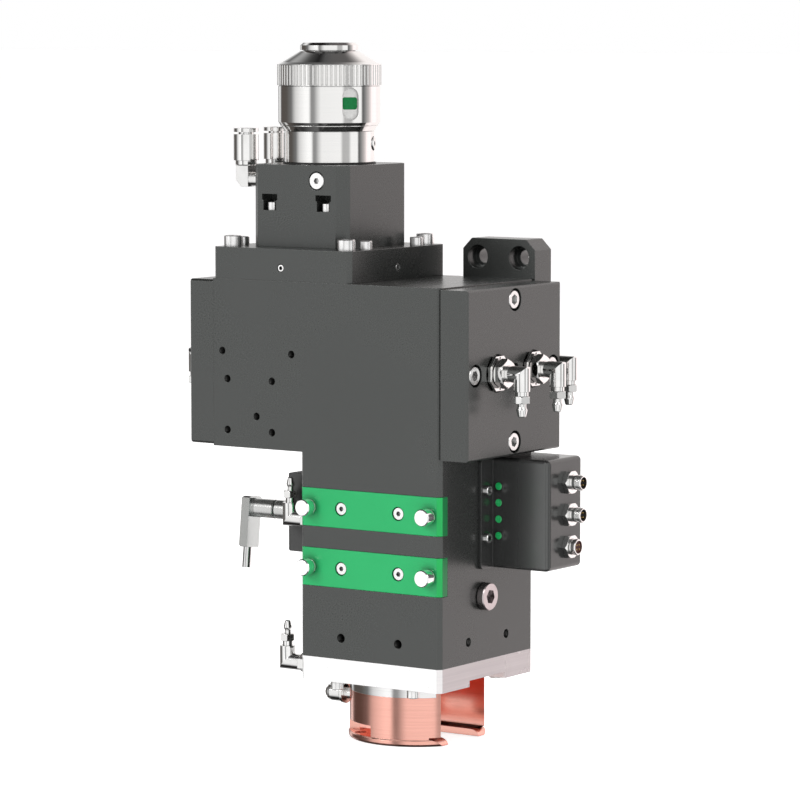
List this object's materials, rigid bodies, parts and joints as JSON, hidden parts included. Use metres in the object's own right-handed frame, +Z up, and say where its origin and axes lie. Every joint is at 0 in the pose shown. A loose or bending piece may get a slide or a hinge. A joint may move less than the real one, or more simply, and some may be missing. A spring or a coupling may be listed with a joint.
{
  "type": "laser processing head",
  "caption": "Laser processing head with fibre receiver, folded beam path, window drawers, cooled mirror covers, signal box and copper cross-jet shroud.",
  "frame": {"origin": "output beam axis at the underside of the aluminium nozzle plate", "axes": "+Z up along the output beam towards the fibre, -Y is the front with the window drawers, +X the side with the signal box"},
  "size_m": [0.2352, 0.1165, 0.3791],
  "materials": {
    "anodised_body": "satin black anodised, fine bead blast",
    "green_anodised": "satin green anodised",
    "bare_aluminium": "fine machined",
    "black_tray": "black anodised",
    "copper": "turned copper",
    "nickel": "nickel plated, bright",
    "receiver_steel": "turned and polished steel",
    "screw_steel": "stainless steel",
    "thumb_steel": "polished stainless steel",
    "indicator": "green mark on light grey ring",
    "glass": "coated fused silica",
    "mirror": "coated mirror face",
    "seal": "matt black seal",
    "box_paint": "satin black housing",
    "lamp": "green light lens",
    "insert": "moulded contact insert",
    "board": "solder resist",
    "black_plastic": "moulded housing",
    "plug_metal": "satin die cast",
    "cable": "matt cable jacket",
    "ring_metal": "anodised retaining ring"
  },
  "bodies": {
    "head": {"main_body": "anodised_body", "right_end_cover": "anodised_body", "left_end_cover": "anodised_body", "fold_mirrors": "mirror", "hose_elbows": "nickel", "hose_clamp_nuts": "nickel", "rear_mounting_plate": "anodised_body", "centring_plate": "anodised_body", "m6_cap_screws": "screw_steel", "collimator_block": "anodised_body", "receiver_seal": "seal", "receiver_housing": "receiver_steel", "receiver_screws": "screw_steel", "receiver_top_collar": "receiver_steel", "lock_indicator_sleeve": "indicator", "push_in_stems": "nickel", "focus_lens_barrel": "ring_metal", "focus_lens": "glass", "focus_lens_ring": "ring_metal", "purge_port_plug": "screw_steel", "electronics_box": "box_paint", "status_lights": "lamp", "circuit_board": "board", "connector_inserts": "insert", "sensor_housing": "black_plastic", "connector_shells": "nickel", "angled_plug_body": "plug_metal", "cable_stub": "cable", "nozzle_plate": "bare_aluminium", "m4_cap_screws": "screw_steel", "shroud_collar": "nickel", "copper_shroud": "copper", "m3_cap_screws": "screw_steel", "cross_jet_nozzle": "nickel"},
    "upper_drawer": {"upper_drawer_front": "green_anodised", "upper_drawer_tray": "black_tray", "upper_window": "glass", "upper_window_seal": "seal", "upper_drawer_screws": "screw_steel"},
    "lower_drawer": {"lower_drawer_front": "green_anodised", "lower_drawer_tray": "black_tray", "lower_window": "glass", "lower_window_seal": "seal", "lower_drawer_screws": "screw_steel"},
    "upper_left_thumb": {"upper_left_thumb_screw": "thumb_steel"},
    "upper_right_thumb": {"upper_right_thumb_screw": "thumb_steel"},
    "lower_left_thumb": {"lower_left_thumb_screw": "thumb_steel"},
    "lower_right_thumb": {"lower_right_thumb_screw": "thumb_steel"},
    "lock_ring": {"fibre_lock_ring": "receiver_steel"},
    "front_elbow": {"front_push_in_elbow": "nickel"},
    "rear_elbow": {"rear_push_in_elbow": "nickel"},
    "front_collet": {"front_release_collet": "nickel"},
    "rear_collet": {"rear_release_collet": "nickel"},
    "coupling_nut": {"angled_plug_nut": "plug_metal"},
    "side_screw": {"side_centring_screw": "screw_steel"},
    "front_screw": {"front_centring_screw": "screw_steel"},
    "frame": {"centring_frame": "bare_aluminium"},
    "lens_cell": {"collimator_lens_cell": "bare_aluminium", "collimator_lens": "glass", "collimator_lens_ring": "ring_metal"}
  },
  "joints": [
    {"name": "upper_drawer_slide", "type": "slide", "parent": "head", "child": "upper_drawer", "axis": [0, -1, 0], "range_m": [0, 0.07]},
    {"name": "lower_drawer_slide", "type": "slide", "parent": "head", "child": "lower_drawer", "axis": [0, -1, 0], "range_m": [0, 0.07]},
    {"name": "upper_left_thumb_turn", "type": "hinge", "parent": "upper_drawer", "child": "upper_left_thumb", "pos_m": [-0.039, -0.046, 0.095], "axis": [0, -1, 0], "continuous": true},
    {"name": "upper_right_thumb_turn", "type": "hinge", "parent": "upper_drawer", "child": "upper_right_thumb", "pos_m": [0.039, -0.046, 0.095], "axis": [0, -1, 0], "continuous": true},
    {"name": "lower_left_thumb_turn", "type": "hinge", "parent": "lower_drawer", "child": "lower_left_thumb", "pos_m": [-0.039, -0.046, 0.0624], "axis": [0, -1, 0], "continuous": true},
    {"name": "lower_right_thumb_turn", "type": "hinge", "parent": "lower_drawer", "child": "lower_right_thumb", "pos_m": [0.039, -0.046, 0.0624], "axis": [0, -1, 0], "continuous": true},
    {"name": "lock_ring_turn", "type": "hinge", "parent": "head", "child": "lock_ring", "pos_m": [-0.0585, 0, 0.32], "axis": [0, 0, 1], "range_deg": [0, 60]},
    {"name": "front_elbow_swivel", "type": "hinge", "parent": "head", "child": "front_elbow", "pos_m": [-0.0943, -0.014, 0.2702], "axis": [1, 0, 0], "range_deg": [-20, 180]},
    {"name": "rear_elbow_swivel", "type": "hinge", "parent": "head", "child": "rear_elbow", "pos_m": [-0.0943, 0.014, 0.2702], "axis": [1, 0, 0], "range_deg": [-180, 20]},
    {"name": "front_collet_push", "type": "slide", "parent": "front_elbow", "child": "front_collet", "axis": [0, 0, -1], "range_m": [0, 0.001], "stiffness_N_per_m": 400, "springref_m": -0.0002},
    {"name": "rear_collet_push", "type": "slide", "parent": "rear_elbow", "child": "rear_collet", "axis": [0, 0, -1], "range_m": [0, 0.001], "stiffness_N_per_m": 400, "springref_m": -0.0002},
    {"name": "coupling_nut_turn", "type": "hinge", "parent": "head", "child": "coupling_nut", "pos_m": [-0.075, -0.017, 0.0875], "axis": [1, 0, 0], "continuous": true},
    {"name": "side_screw_turn", "type": "hinge", "parent": "head", "child": "side_screw", "pos_m": [-0.0125, 0, 0.2239], "axis": [1, 0, 0], "range_deg": [-515, 515]},
    {"name": "frame_slide", "type": "slide", "parent": "head", "child": "frame", "axis": [1, 0, 0], "range_m": [-0.001, 0.001]},
    {"name": "front_screw_turn", "type": "hinge", "parent": "head", "child": "front_screw", "pos_m": [-0.0585, -0.046, 0.2239], "axis": [0, 1, 0], "range_deg": [-515, 515]},
    {"name": "cell_slide", "type": "slide", "parent": "frame", "child": "lens_cell", "axis": [0, 1, 0], "range_m": [-0.001, 0.001]}
  ],
  "couplings": [
    {"joint": "side_screw_turn", "follows": "frame_slide", "rad_per_m": 8976},
    {"joint": "front_screw_turn", "follows": "cell_slide", "rad_per_m": 8976}
  ]
}
